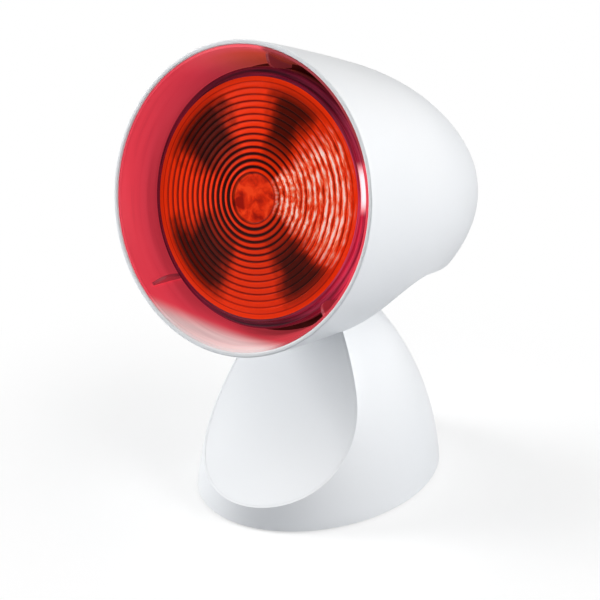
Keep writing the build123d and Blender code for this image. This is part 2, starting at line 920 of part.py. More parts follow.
wall_slope = math.atan2(dome_back(switch_z - 1) - dome_back(switch_z + 1), 2)
wall_out = Vector(0, math.cos(wall_slope), math.sin(wall_slope))
wall_up = Vector(0, -math.sin(wall_slope), math.cos(wall_slope))
switch_wall = Plane(
    origin=(0, foot_y + dome_back(switch_z), switch_z), x_dir=(-1, 0, 0), z_dir=wall_out
)
switch_seat = switch_wall.offset(-switch_pocket_depth)

with BuildPart() as panel_recess:
    add(dome(panel_border, top=neck_top - panel_border))
    add(behind_panel(panel_thickness), mode=Mode.SUBTRACT)

with BuildPart() as stand_room:
    add(dome(stand_wall, bottom=-foot_lift, top=neck_top - stand_wall))
    add(behind_panel(panel_thickness + panel_backing), mode=Mode.INTERSECT)

with BuildPart() as stand_bosses:
    rods(level(plate_top), base_screws_at, boss_r, neck_top)
    rods(level(yoke_top), yoke_screws_at, boss_r, neck_top)
    rods(facing_back(gland_inner_y, gland_z), [(0, 0)], gland_nut_r + gland_pad, far)
    with BuildSketch(switch_seat.offset(-switch_pad_depth)):
        RectangleRounded(
            switch_pocket[0] + 2 * switch_pad, switch_pocket[1] + 2 * switch_pad, switch_pocket_round
        )
    extrude(amount=far)
    add(dome(stand_wall / 2, top=neck_top - stand_wall / 2), mode=Mode.INTERSECT)
    add(behind_panel(panel_thickness + panel_backing / 2), mode=Mode.INTERSECT)

with BuildPart() as stand_shell:
    add(dome(0))
    fillet(stand_shell.edges().group_by(Axis.Z)[-1], neck_round)
    add(behind_panel(0), mode=Mode.INTERSECT)
    add(panel_recess.part, mode=Mode.SUBTRACT)
    add(stand_room.part, mode=Mode.SUBTRACT)
    add(stand_bosses.part)
    with BuildSketch(level(hinge_z + slot_rise)):
        with Locations((0, hinge_y - barrel_r - slot_gap)):
            Rectangle(2 * (barrel_half + slot_gap), far, align=(Align.CENTER, Align.MIN))
    extrude(amount=far, mode=Mode.SUBTRACT)
    rods(level(plate_top), base_screws_at, screw_r + screw_gap, screw_grip, Mode.SUBTRACT)
    rods(level(yoke_top), yoke_screws_at, screw_r + screw_gap, screw_grip, Mode.SUBTRACT)
    rods(facing_back(gland_seat_y, gland_z), [(0, 0)], gland_flange_r + gland_pad, far, Mode.SUBTRACT)
    rods(facing_back(gland_seat_y, gland_z), [(0, 0)], gland_r + seat_gap, -2 * gland_seat, Mode.SUBTRACT)
    with BuildSketch(switch_seat):
        RectangleRounded(*switch_pocket, switch_pocket_round)
    extrude(amount=far, mode=Mode.SUBTRACT)
    with BuildSketch(switch_seat):
        Rectangle(switch_size[0] + 2 * seat_gap, switch_size[1] + 2 * seat_gap)
    extrude(amount=-2 * switch_pad_depth, mode=Mode.SUBTRACT)
save(stand_shell, "stand_shell")

with BuildPart() as front_panel:
    add(dome(panel_border + panel_fit, top=neck_top - panel_border - panel_fit))
    add(behind_panel(0), mode=Mode.INTERSECT)
    add(behind_panel(panel_thickness - panel_fit), mode=Mode.SUBTRACT)
save(front_panel, "front_panel")

# ---------------------------------------------------------------- bottom of the stand
ballast_screws_at = mirrored([(ballast_screw_x, -ballast_ahead)])
foot_pads_at = mirrored([(foot_pad_x, foot_pad_y), (foot_pad_x, -foot_pad_y)])
plate_inset = stand_wall + 2 * seat_gap

with BuildPart() as base_plate:
    add(dome(plate_inset, bottom=plate_z, top=plate_top))
    plate_under = level(plate_z)
    rods(plate_under, base_screws_at, screw_head_r + screw_gap, base_screw_sink, Mode.SUBTRACT)
    rods(plate_under, base_screws_at, screw_r + screw_gap, plate_thickness, Mode.SUBTRACT)
    rods(level(plate_top), ballast_screws_at, screw_r + screw_gap, -ballast_screw_grip, Mode.SUBTRACT)
save(base_plate, "base_plate")

with BuildPart() as base_screws:
    head_seat = Plane(origin=(0, foot_y, plate_z + base_screw_sink), x_dir=(1, 0, 0), z_dir=(0, 0, -1))
    screws(head_seat, base_screws_at, plate_thickness - base_screw_sink + screw_grip, base_screw_head)
save(base_screws, "base_screws")

with BuildPart() as rubber_feet:
    rods(level(plate_z), foot_pads_at, foot_pad_r, -plate_z)
    fillet(rubber_feet.edges().group_by(Axis.Z)[0], foot_pad_round)
save(rubber_feet, "rubber_feet")

with BuildPart() as ballast_weight:
    with BuildSketch(level(plate_top)):
        with Locations((0, -ballast_ahead)):
            Ellipse(ballast_half_x, ballast_half_y)
    extrude(amount=ballast_height)
    chamfer(ballast_weight.edges().group_by(Axis.Z)[-1], ballast_edge)
    rods(level(plate_top), ballast_screws_at, screw_r + screw_gap, ballast_height, Mode.SUBTRACT)
save(ballast_weight, "ballast_weight")

with BuildPart() as ballast_screws:
    grip = ballast_height + ballast_screw_grip - seat_gap
    screws(level(plate_top + ballast_height), ballast_screws_at, grip)
save(ballast_screws, "ballast_screws")

# ---------------------------------------------------------------- yoke bracket and pivots
arm_inside = barrel_half + friction_washer + 2 * washer_gap
arm_outside = arm_inside + arm_thickness

with BuildPart() as yoke_bracket:
    with BuildSketch(level(yoke_z)):
        with Locations((0, hinge_y)):
            RectangleRounded(2 * yoke_half_length, 2 * yoke_half_width, screw_head_r)
            Circle(yoke_hole_r, mode=Mode.SUBTRACT)
        with Locations(*yoke_screws_at):
            Circle(screw_r + screw_gap, mode=Mode.SUBTRACT)
    extrude(amount=arm_thickness)
    for x_side in (1, -1):
        with BuildSketch(beside(x_side * arm_inside)):
            Circle(arm_half)
            Rectangle(2 * arm_half, hinge_z - yoke_z, align=(Align.CENTER, Align.MAX))
            Circle(pivot_r + running_gap, mode=Mode.SUBTRACT)
        extrude(amount=x_side * arm_thickness)
save(yoke_bracket, "yoke_bracket")

with BuildPart() as yoke_screws:
    under_yoke = Plane(origin=(0, foot_y, yoke_z), x_dir=(1, 0, 0), z_dir=(0, 0, -1))
    screws(under_yoke, [(x, -y) for x, y in yoke_screws_at], arm_thickness + screw_grip)
save(yoke_screws, "yoke_screws")

with BuildPart() as friction_washers:
    for x_side in (1, -1):
        washer_face = beside(x_side * (barrel_half + washer_gap))
        rings(washer_face, [(0, 0)], washer_r, pivot_r + running_gap, x_side * friction_washer)
save(friction_washers, "friction_washers")

with BuildPart() as spring_washers:
    for x_side in (1, -1):
        washer_face = beside(x_side * arm_outside)
        rings(washer_face, [(0, 0)], pivot_head_r, pivot_r + running_gap, x_side * spring_washer)
save(spring_washers, "spring_washers")

head_inside = arm_outside + spring_washer

with BuildPart() as pivot_screws:
    for x_side in (1, -1):
        rods(beside(x_side * pivot_reach), [(0, 0)], pivot_r, x_side * (head_inside - pivot_reach))
        rods(beside(x_side * head_inside), [(0, 0)], pivot_head_r, x_side * pivot_head)
        with BuildSketch(beside(x_side * (head_inside + pivot_head))):
            RegularPolygon(hex_r, 6)
        extrude(amount=-x_side * hex_depth, mode=Mode.SUBTRACT)
save(pivot_screws, "pivot_screws")

# ---------------------------------------------------------------- terminals and leads of the stand
terminal_top = plate_top + terminal_size[2]
insert_points = [(x * terminal_pitch, terminal_y) for x in (-1, 0, 1)]

with BuildPart() as terminal_block:
    with BuildSketch(level(plate_top)):
        with Locations((0, terminal_y)):
            RectangleRounded(terminal_size[0], terminal_size[1], terminal_round)
    extrude(amount=terminal_size[2])
    rods(level(terminal_top), insert_points, insert_r + screw_gap, -insert_sink, Mode.SUBTRACT)
    screw_face = facing_back(terminal_y + terminal_size[1] / 2, plate_top + terminal_screw_z)
    screw_points = [(x, 0) for x, _ in insert_points]
    screw_run = terminal_size[1] / 2 - insert_r
    rods(screw_face, screw_points, terminal_screw_r + screw_gap, -screw_run, Mode.SUBTRACT)
save(terminal_block, "terminal_block")

with BuildPart() as terminal_inserts:
    rods(level(terminal_top - insert_sink), insert_points, insert_r, insert_sink)
    rods(level(terminal_top), insert_points, lead_r + screw_gap, -insert_sink / 2, Mode.SUBTRACT)
save(terminal_inserts, "terminal_inserts")

with BuildPart() as terminal_screws:
    rods(screw_face, screw_points, terminal_screw_r, -screw_run + screw_gap)
save(terminal_screws, "terminal_screws")

lead_floor = terminal_top - insert_sink / 2
lead(
    [
        (-terminal_pitch, foot_y + terminal_y, lead_floor),
        (-terminal_pitch, foot_y + terminal_y, terminal_top + lead_sink),
        (0, foot_y + hinge_y, yoke_z - lead_sink),
        (0, foot_y + hinge_y, hinge_z - lead_end_gap),
    ],
    lead_r,
    "stand_lead",
)

# ---------------------------------------------------------------- cord gland
nut_face_y = gland_inner_y - gland_nut_height

with BuildPart() as cord_gland:
    rods(facing_back(gland_seat_y, gland_z), [(0, 0)], gland_flange_r, gland_flange)
    fillet(cord_gland.edges().group_by(Axis.Y)[-1], gland_round)
    rods(facing_back(gland_seat_y, gland_z), [(0, 0)], gland_r, nut_face_y - gland_end - gland_seat_y)
    rods(facing_back(gland_seat_y, gland_z), [(0, 0)], gland_bore_r, far, Mode.SUBTRACT)
    rods(facing_back(gland_seat_y, gland_z), [(0, 0)], gland_bore_r, -far, Mode.SUBTRACT)
save(cord_gland, "cord_gland")

with BuildPart() as gland_nut:
    with BuildSketch(facing_back(nut_face_y, gland_z)):
        RegularPolygon(gland_nut_r, 6)
        Circle(gland_r + running_gap, mode=Mode.SUBTRACT)
    extrude(amount=gland_nut_height)
save(gland_nut, "gland_nut")

# ---------------------------------------------------------------- rocker switch
window_half_width = rocker_half_width + rocker_room
window_half_length = rocker_end_r + rocker_room
rocker_pivot = switch_seat.from_local_coords((0, 0, -rocker_sink))
turn = math.radians(rocker_rest)
rocker_along = wall_up * math.cos(turn) + wall_out * math.sin(turn)
pin_half = window_half_width + pin_seat

with BuildPart() as switch_housing:
    with BuildSketch(switch_seat):
        RectangleRounded(*bezel_size, bezel_round)
    extrude(amount=bezel_height)
    with BuildSketch(switch_seat):
        Rectangle(*switch_size)
    extrude(amount=-switch_depth)
    with BuildSketch(switch_seat.offset(-switch_floor)):
        Rectangle(2 * window_half_width, 2 * window_half_length)
    extrude(amount=far, mode=Mode.SUBTRACT)
    pin_line = Plane(origin=rocker_pivot + Vector(-pin_half, 0, 0), z_dir=(1, 0, 0))
    rods(pin_line, [(0, 0)], pin_r + running_gap, 2 * pin_half, Mode.SUBTRACT)
save(switch_housing, "switch_housing")

with BuildPart() as switch_rocker:
    rocker_side = Plane(origin=rocker_pivot, x_dir=rocker_along, z_dir=(-1, 0, 0))
    with BuildSketch(rocker_side):
        with BuildLine():
            Polyline(
                (-rocker_end_r, rocker_rise),
                (0, rocker_valley),
                (rocker_end_r, rocker_rise),
                (rocker_end_r, -rocker_depth),
                (-rocker_end_r, -rocker_depth),
                close=True,
            )
        make_face()
        Circle(rocker_end_r, mode=Mode.INTERSECT)
        Circle(pin_r + running_gap, mode=Mode.SUBTRACT)
    extrude(amount=rocker_half_width, both=True)
save(switch_rocker, "switch_rocker")

with BuildPart() as rocker_pin:
    rods(pin_line, [(0, 0)], pin_r, 2 * pin_half)
save(rocker_pin, "rocker_pin")

switch_back = switch_seat.offset(-switch_depth)

with BuildPart() as switch_tabs:
    with BuildSketch(switch_back):
        with Locations((tab_x, 0), (-tab_x, 0)):
            Rectangle(tab_width, tab_thickness)
    extrude(amount=-tab_length)
save(switch_tabs, "switch_tabs")

tab_end = switch_seat.offset(-switch_depth - tab_length)
middle_insert, side_insert = insert_points[1:]
for name, tab_side, insert in (
    ("switch_lead_left", -1, middle_insert),
    ("switch_lead_right", 1, side_insert),
):
    start = tab_end.from_local_coords((-tab_side * tab_x, 0, 0))
    lead(
        [
            start,
            start - wall_out * (2 * wire_r),
            (insert[0], foot_y + insert[1], terminal_top + wire_rise),
            (insert[0], foot_y + insert[1], lead_floor),
        ],
        wire_r,
        name,
    )
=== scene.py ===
"""Looks of an infrared heat therapy lamp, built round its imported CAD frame. Metres."""
import bpy
import bmesh
import json
import math
from functools import partial
from mathutils import Euler, Matrix, Vector


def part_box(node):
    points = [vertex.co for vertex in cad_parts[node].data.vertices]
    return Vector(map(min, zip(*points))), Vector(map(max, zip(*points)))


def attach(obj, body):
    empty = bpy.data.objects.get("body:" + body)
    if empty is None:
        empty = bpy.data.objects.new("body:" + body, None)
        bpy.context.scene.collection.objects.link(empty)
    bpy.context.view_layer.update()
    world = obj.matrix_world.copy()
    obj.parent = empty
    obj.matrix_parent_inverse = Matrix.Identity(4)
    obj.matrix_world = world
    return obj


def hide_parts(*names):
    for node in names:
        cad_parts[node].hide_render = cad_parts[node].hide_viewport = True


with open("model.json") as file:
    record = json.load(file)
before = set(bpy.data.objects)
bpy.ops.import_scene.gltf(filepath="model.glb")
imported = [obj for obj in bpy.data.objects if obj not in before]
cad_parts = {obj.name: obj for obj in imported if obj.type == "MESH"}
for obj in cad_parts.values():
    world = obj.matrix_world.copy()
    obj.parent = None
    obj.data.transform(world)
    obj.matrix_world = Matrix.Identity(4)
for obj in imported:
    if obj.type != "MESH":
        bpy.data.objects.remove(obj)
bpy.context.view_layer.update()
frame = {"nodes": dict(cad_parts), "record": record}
nodes = frame["nodes"]
mm = 0.001
weld = 0.001 * mm  # points closer than this are merged


# ---------------------------------------------------------------- where the head and the stand are
def middle(node):
    """Centre of a node's box."""
    low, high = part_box(node)
    return (low + high) / 2


filament_behind_rim = 74.2 * mm
lamp_axis = (middle("lampholder_thread") - middle("filament")).normalized()
rim_centre = middle("filament") - lamp_axis * filament_behind_rim
head_tilt = math.atan2(-lamp_axis.z, lamp_axis.y)
head_turn = Euler((math.pi / 2 - head_tilt, 0, 0))
# head frame: X to the side, Y up across the mouth, Z out of the mouth
head_frame = Matrix.Translation(rim_centre) @ head_turn.to_matrix().to_4x4()
foot_low, foot_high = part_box("stand_shell")
foot_centre = Vector((0, (foot_low.y + foot_high.y) / 2, 0))
# the point that the camera and the lights face
aim = foot_centre + Vector((-11.769 * mm, 0, 88.531 * mm))


# ---------------------------------------------------------------- camera
def face_the_lamp(made, azimuth, elevation, distance):
    """Stands a camera or a light at an azimuth and an elevation in degrees, turned to the lamp."""
    a, e = math.radians(azimuth), math.radians(elevation)
    out = Vector((math.sin(a) * math.cos(e), -math.cos(a) * math.cos(e), math.sin(e)))
    made.location = aim + out * distance
    made.rotation_euler = out.to_track_quat("Z", "Y").to_euler()
    bpy.context.scene.collection.objects.link(made)


camera_data = bpy.data.cameras.new("camera")
camera_data.lens = 251.07
camera_data.clip_end = 20
camera = bpy.data.objects.new("camera", camera_data)
face_the_lamp(camera, azimuth=37.304, elevation=26.708, distance=2.0)
bpy.context.scene.camera = camera


# ---------------------------------------------------------------- material tools
def linear(hex_colour):
    """Linear RGBA of an sRGB hex colour."""
    parts = [int(hex_colour[i:i + 2], 16) / 255 for i in (1, 3, 5)]
    return tuple(c / 12.92 if c <= 0.04045 else ((c + 0.055) / 1.055) ** 2.4 for c in parts) + (1.0,)


def add_node(tree, kind, inputs=(), stops=(), **settings):
    """New node with its settings, its inputs and, on a colour ramp, its stops of (position, hex colour).

    A tuple fills the inputs in use in their order, and a dict names them. Each is a value, a hex colour,
    a socket, or a node, which gives the first of its outputs in use.
    """
    made = tree.nodes.new(kind)
    for name, value in settings.items():
        setattr(made, name, value)
    if isinstance(inputs, dict):
        filled = [(made.inputs[name], value) for name, value in inputs.items()]
    else:
        filled = zip([socket for socket in made.inputs if socket.enabled], inputs)
    for socket, value in filled:
        if isinstance(value, bpy.types.Node):
            value = next(output for output in value.outputs if output.enabled)
        if isinstance(value, bpy.types.NodeSocket):
            tree.links.new(value, socket)
        else:
            socket.default_value = linear(value) if isinstance(value, str) else value
    for index, (position, colour) in enumerate(stops):
        points = made.color_ramp.elements
        point = points[index] if index < len(points) else points.new(position)
        point.position = position
        point.color = linear(colour)
    return made


def new_material(name):
    """Empty material, and the call that adds a node to it."""
    material = bpy.data.materials.new(name)
    material.use_nodes = True
    material.node_tree.nodes.clear()
    return material, partial(add_node, material.node_tree)


def even_finish(name, tones, grain, depth, roughness, spread, patch=None, detail=3.0, **values):
    """Material that looks even: its colour wanders between two near tones, from patch to patch, and its
    surface has a grain of a size and a depth, with a roughness that wanders by a spread."""
    material, add = new_material(name)
    place = add("ShaderNodeTexCoord").outputs["Object"]
    cloud = add("ShaderNodeTexNoise", {
        "Vector": place, "Scale": 1 / (patch or 12 * grain), "Detail": detail})
    colour = add("ShaderNodeValToRGB", (cloud,), stops=zip((0.3, 0.7), tones))
    bumps = add("ShaderNodeTexNoise", {"Vector": place, "Scale": 1 / grain, "Detail": 3.0})
    normal = add("ShaderNodeBump", {"Strength": 1.0, "Distance": depth, "Height": bumps})
    handling = add("ShaderNodeTexNoise", {"Vector": place, "Scale": 1 / (60 * grain), "Detail": 2.0})
    gloss = add("ShaderNodeMapRange", {
        "Value": handling, "To Min": roughness - spread, "To Max": roughness + spread})
    surface = add("ShaderNodeBsdfPrincipled", values | {
        "Base Color": colour, "Roughness": gloss, "Normal": normal})
    add("ShaderNodeOutputMaterial", (surface,))
    return material


def head_place(add):
    """Sockets of a surface point in the head frame, by their names."""
    place = add("ShaderNodeTexCoord").outputs["Object"]
    point = add("ShaderNodeMapping", (place, rim_centre, head_turn), vector_type="TEXTURE")
    axes = add("ShaderNodeSeparateXYZ", (point,)).outputs
    across_mouth = add("ShaderNodeVectorMath", (point, (1, 1, 0)), operation="MULTIPLY")
    radius = add("ShaderNodeVectorMath", (across_mouth,), operation="LENGTH")
    angle = add("ShaderNodeMath", (axes["Y"], axes["X"]), operation="ARCTAN2")
    return {"point": point, "upwards": axes["Y"], "outwards": axes["Z"], "radius": radius, "angle": angle}


def near_angle(add, angle, centre, half_width, soft, most=1.0):
    """Most within half_width degrees of a centre angle, and 0 past a soft edge, also in degrees."""
    off_centre = add("ShaderNodeMath", (angle, math.radians(centre)), operation="SUBTRACT")
    nearness = add("ShaderNodeMath", (off_centre,), operation="COSINE")
    outer = math.cos(math.radians(half_width + soft))
    inner = math.cos(math.radians(half_width - soft))
    return add("ShaderNodeMapRange", (nearness, outer, inner, 0, most), interpolation_type="SMOOTHSTEP")


def between(add, source, first_edge, last_edge):
    """1 between two soft edges and 0 outside them. An edge is where it starts at 0 and where it reaches 1."""
    past_first = add("ShaderNodeMapRange", (source, *first_edge), interpolation_type="SMOOTHSTEP")
    before_last = add("ShaderNodeMapRange", (source, *last_edge), interpolation_type="SMOOTHSTEP")
    return add("ShaderNodeMath", (past_first, before_last), operation="MULTIPLY")


# ---------------------------------------------------------------- the liner
def painted_reflection_place(add, angle, outwards):
    """How much of a painted reflection of white a point takes. It starts along the lowest part of the mouth,
    and reaches deepest there in the middle."""
    depth = 19 * mm
    side = add("ShaderNodeMapRange", (angle, math.radians(-126), math.radians(-54), -1, 1), clamp=False)
    side_squared = add("ShaderNodeMath", (side, side), operation="MULTIPLY")
    reach = add("ShaderNodeMath", (side_squared, -depth, depth), operation="MULTIPLY_ADD")
    inside = add("ShaderNodeMath", (reach, outwards), operation="ADD")
    return add("ShaderNodeMapRange", (inside, -1 * mm, 12 * mm), interpolation_type="SMOOTHSTEP")


def painted_fin_shade(add, radius, outwards):
    """How much painted shade a point on a fin takes: the fins stand inwards from the wall that is followed
    here.
    """
    wall_at_mouth, wall_slope, wall_bend = 69.7 * mm, 0.385, 4.3
    slope = add("ShaderNodeMath", (outwards, wall_bend, wall_slope), operation="MULTIPLY_ADD")
    wall = add("ShaderNodeMath", (outwards, slope, wall_at_mouth), operation="MULTIPLY_ADD")
    off_wall = add("ShaderNodeMath", (wall, radius), operation="SUBTRACT")
    return add("ShaderNodeMapRange", (off_wall, 0.4 * mm, 1.2 * mm, 0, 0.8), interpolation_type="SMOOTHSTEP")


def make_liner():
    """Polycarbonate, injection moulded: crimson, with a painted glow as if lit from within, faint rings round
    the mouth, and pale where a painted reflection of white lies along the lowest part of the mouth."""
    material, add = new_material("moulded_polycarbonate_crimson")
    head = head_place(add)
    outwards, radius, angle = head["outwards"], head["radius"], head["angle"]
    around_mouth = add("ShaderNodeCombineXYZ", (
        add("ShaderNodeMath", (outwards, 4 * mm), operation="DIVIDE"),
        add("ShaderNodeMath", (angle,), operation="COSINE"),
        add("ShaderNodeMath", (angle,), operation="SINE")))
    rings = add("ShaderNodeTexNoise", {"Vector": around_mouth, "Scale": 1.0, "Detail": 4.0})
    colour = add("ShaderNodeValToRGB", (rings,), stops=[(0.3, "#C83646"), (0.7, "#DC4050")])
    high = add("ShaderNodeMapRange", (head["upwards"], 44 * mm, 66 * mm), interpolation_type="SMOOTHSTEP")
    colour = add("ShaderNodeMix", (high, colour, "#DC5660"), data_type="RGBA")
    # brownish deep down at the top, where the bulb screens its own light
    at_top = near_angle(add, angle, centre=88, half_width=26, soft=18)
    deep = add("ShaderNodeMapRange", (outwards, 0, -9 * mm), interpolation_type="SMOOTHSTEP")
    screened = add("ShaderNodeMath", (at_top, deep), operation="MULTIPLY")
    colour = add("ShaderNodeMix", (screened, colour, "#C44A36"), data_type="RGBA")
    # painted shadow beyond the top fin, and painted shade that dulls the lower right
    painted_fin_shadow = near_angle(add, angle, centre=61, half_width=33, soft=2, most=0.66)
    colour = add("ShaderNodeMix", (painted_fin_shadow, colour, "#4A1A1E"), data_type="RGBA")
    painted_lower_right_shade = near_angle(add, angle, centre=-56, half_width=26, soft=14, most=0.6)
    colour = add("ShaderNodeMix", (painted_lower_right_shade, colour, "#963438"), data_type="RGBA")
    # pale tones of a painted reflection of white along the lowest part of the mouth
    pale = add("ShaderNodeValToRGB", (rings,), stops=[(0.35, "#BEA6A6"), (0.65, "#D4BEBD")])
    colour = add("ShaderNodeMix", (painted_reflection_place(add, angle, outwards), colour, pale), data_type="RGBA")
    # painted shade on the fins
    colour = add("ShaderNodeMix", (painted_fin_shade(add, radius, outwards), colour, "#742630"), data_type="RGBA")
    # the emission is a painted glow, as if light lit the liner from within
    surface = add("ShaderNodeBsdfPrincipled", {
        "Base Color": colour, "Roughness": 0.3, "IOR": 1.58, "Specular IOR Level": 0.35,
        "Emission Color": colour, "Emission Strength": 0.56})
    add("ShaderNodeOutputMaterial", (surface,))
    return material


# ---------------------------------------------------------------- the glass of the lens
lens_radius = 56 * mm
lens_steps = 148  # of the lens's mesh, from its middle to its edge
ring_steps = 8
disc_steps = 30  # of the plain disc in the middle
ring_count = 14
ring_pitch = lens_radius / lens_steps * ring_steps
ring_start = lens_radius / lens_steps * disc_steps
ring_end = ring_start + ring_count * ring_pitch
wing_places = ((76, 13), (148, 20), (-125, 23), (-41, 14))  # middle and half width, in degrees


def ring_grooves(add, radius):
    """Number of a point's ring, how far it is from the ridge, and how much painted shade its groove takes
    there:
    grooves are broad and dark near the middle, fine and faint further out."""
    ring_place = add("ShaderNodeMapRange", (radius, ring_start, ring_start + ring_pitch, 0, 1), clamp=False)
    ring_number = add("ShaderNodeMath", (ring_place,), operation="FLOOR")
    to_groove = add("ShaderNodeMath", (ring_place, 0.5), operation="PINGPONG")
    from_ridge = add("ShaderNodeMath", (to_groove, -2.0, 1.0), operation="MULTIPLY_ADD")
    inner = add("ShaderNodeMapRange", (radius, 40 * mm, 14 * mm), interpolation_type="SMOOTHSTEP")
    widened = add("ShaderNodeMath", (inner, 0.28, from_ridge), operation="MULTIPLY_ADD")
    groove = add("ShaderNodeMapRange", (widened, 0.5, 1.1), interpolation_type="SMOOTHSTEP")
    darkness = add("ShaderNodeMath", (inner, 0.3, 0.7), operation="MULTIPLY_ADD")
    groove = add("ShaderNodeMath", (groove, darkness), operation="MULTIPLY")
    in_rings = between(add, radius, (ring_start - 0.6 * mm, ring_start), (ring_end + 0.6 * mm, ring_end))
    outermost = add("ShaderNodeMapRange", (radius, 44 * mm, 54 * mm), interpolation_type="SMOOTHSTEP")
    shown = add("ShaderNodeMath", (outermost, -0.5, in_rings), operation="MULTIPLY_ADD")
    groove = add("ShaderNodeMath", (groove, shown), operation="MULTIPLY", use_clamp=True)
    return ring_number, from_ridge, groove


def dark_wings(add, radius, swayed, groove):
    """How much painted shade a point takes in one of the wings, a little more in a groove."""
    wings = 0.0
    for centre, half_width in wing_places:
        wing = near_angle(add, swayed, centre, half_width, soft=9)
        wings = add("ShaderNodeMath", (wings, wing), operation="MAXIMUM")
    reach = between(add, radius, (12 * mm, 34 * mm), (56.5 * mm, 47 * mm))
    wings = add("ShaderNodeMath", (wings, reach), operation="MULTIPLY")
    shade = add("ShaderNodeMath", (groove, 0.06, 0.92), operation="MULTIPLY_ADD")
    return add("ShaderNodeMath", (wings, shade), operation="MULTIPLY")


def lit_sector(add, radius, angle, swayed, ring_number, from_ridge):
    """How far a point is in the pale sector of painted light, and its colour there: painted highlight
    streaks, some fine, others on each ridge.
    """
    near = near_angle(add, swayed, centre=16, half_width=32, soft=9, most=0.92)
    reach = between(add, radius, (10 * mm, 18 * mm), (56 * mm, 50 * mm))
    sector = add("ShaderNodeMath", (near, reach), operation="MULTIPLY")
    along_ridge = add("ShaderNodeCombineXYZ", (
        add("ShaderNodeMath", (angle, 6.0), operation="MULTIPLY"),
        add("ShaderNodeMath", (ring_number, 3.7), operation="MULTIPLY"),
        add("ShaderNodeMath", (radius, 1.6 * mm), operation="DIVIDE")))
    streaks = add("ShaderNodeTexNoise", {
        "Vector": along_ridge, "Scale": 1.0, "Detail": 4.0, "Roughness": 0.6})
    light = add("ShaderNodeMath", (from_ridge, -0.36, streaks), operation="MULTIPLY_ADD")
    return sector, add("ShaderNodeValToRGB", (light,), stops=[
        (0.1, "#901A05"), (0.27, "#E43410"), (0.4, "#F27C58"), (0.52, "#FFE2D6")])


def make_ruby_glass():
    """Ruby glass, pressed in rings: bright ridges between grooves of painted shade, wings of painted shade
    where the bowl behind lies in shade, and one pale sector of painted light and highlights where it throws
    the light straight out."""
    material, add = new_material("pressed_ruby_glass")
    head = head_place(add)
    point, radius, angle = head["point"], head["radius"], head["angle"]
    wander = add("ShaderNodeTexNoise", {"Vector": point, "Scale": 1 / (9 * mm), "Detail": 2.0})
    drift = add("ShaderNodeMapRange", (wander, 0, 1, -0.175, 0.175), clamp=False)
    swayed = add("ShaderNodeMath", (angle, drift), operation="ADD")
    ring_number, from_ridge, groove = ring_grooves(add, radius)
    # darker in the grooves: painted shade
    glass = add("ShaderNodeValToRGB", (groove,), stops=[
        (0.0, "#D42C06"), (0.3, "#A41C05"), (0.7, "#4E0C04"), (1.0, "#220604")])
    wings = dark_wings(add, radius, swayed, groove)
    glass = add("ShaderNodeMix", (wings, glass, "#1C0402"), data_type="RGBA")
    # painted light and painted highlight streaks in one sector
    sector, lit_glass = lit_sector(add, radius, angle, swayed, ring_number, from_ridge)
    glass = add("ShaderNodeMix", (sector, glass, lit_glass), data_type="RGBA")
    # the plain disc in the middle is smudged
    smudge = add("ShaderNodeTexNoise", {
        "Vector": point, "Scale": 1 / (6 * mm), "Detail": 4.0, "Distortion": 0.4})
    disc = add("ShaderNodeValToRGB", (smudge,), stops=[
        (0.34, "#8A1207"), (0.5, "#C8280A"), (0.62, "#DC3A14")])
    past_disc = add("ShaderNodeMapRange", (radius, ring_start - 1 * mm, ring_start + 1 * mm),
                    interpolation_type="SMOOTHSTEP")
    colour = add("ShaderNodeMix", (past_disc, disc, glass), data_type="RGBA")
    # the ripple that pressing leaves is really shallower, and is drawn so that it shows
    ripple = add("ShaderNodeTexNoise", {"Vector": point, "Scale": 1 / (1.1 * mm), "Detail": 3.0})
    normal = add("ShaderNodeBump", {"Strength": 0.6, "Distance": 0.05 * mm, "Height": ripple})
    # the emission is a painted glow, standing in for light that the bowl behind sends back through the glass
    surface = add("ShaderNodeBsdfPrincipled", {
        "Base Color": colour, "Roughness": 0.16, "IOR": 1.52, "Specular IOR Level": 0.12,
        "Normal": normal, "Emission Color": colour, "Emission Strength": 0.4})
    add("ShaderNodeOutputMaterial", (surface,))
    return material


def make_flange_glass():
    """Thick edge of the ruby glass, pressed and glossy: almost black red where it is deep, crimson on one
    side by painted light."""
    material, add = new_material("pressed_ruby_glass_edge")
    head = head_place(add)
    outwards, radius, angle = head["outwards"], head["radius"], head["angle"]
    along_edge = add("ShaderNodeCombineXYZ", (
        add("ShaderNodeMath", (angle, 2.0), operation="MULTIPLY"),
        add("ShaderNodeMath", (radius, 1.2 * mm), operation="DIVIDE"),
        add("ShaderNodeMath", (outwards, 1.5 * mm), operation="DIVIDE")))
    veins = add("ShaderNodeTexNoise", {"Vector": along_edge, "Scale": 1.0, "Detail": 2.0})
    deep = add("ShaderNodeValToRGB", (veins,), stops=[(0.35, "#3C0A1C"), (0.65, "#701630")])
    lit = add("ShaderNodeValToRGB", (veins,), stops=[(0.35, "#94183A"), (0.65, "#D04468")])
    # painted light: the crimson copy on one side
    lit_side = near_angle(add, angle, centre=0, half_width=40, soft=25)
    colour = add("ShaderNodeMix", (lit_side, deep, lit), data_type="RGBA")
    # painted highlight: one bright line at its side, which also glows more
    on_line = between(add, radius, (57.1 * mm, 57.4 * mm), (58.9 * mm, 58.3 * mm))
    line_length = near_angle(add, angle, centre=19, half_width=8, soft=5)
    line = add("ShaderNodeMath", (on_line, line_length), operation="MULTIPLY")
    colour = add("ShaderNodeMix", (line, colour, "#FFF2F5"), data_type="RGBA")
    glow = add("ShaderNodeMath", (line, 0.45, 0.35), operation="MULTIPLY_ADD")
    # the emission is a painted glow
    surface = add("ShaderNodeBsdfPrincipled", {
        "Base Color": colour, "Roughness": 0.1, "IOR": 1.52, "Specular IOR Level": 0.4,
        "Emission Color": colour, "Emission Strength": glow})
    add("ShaderNodeOutputMaterial", (surface,))
    return material


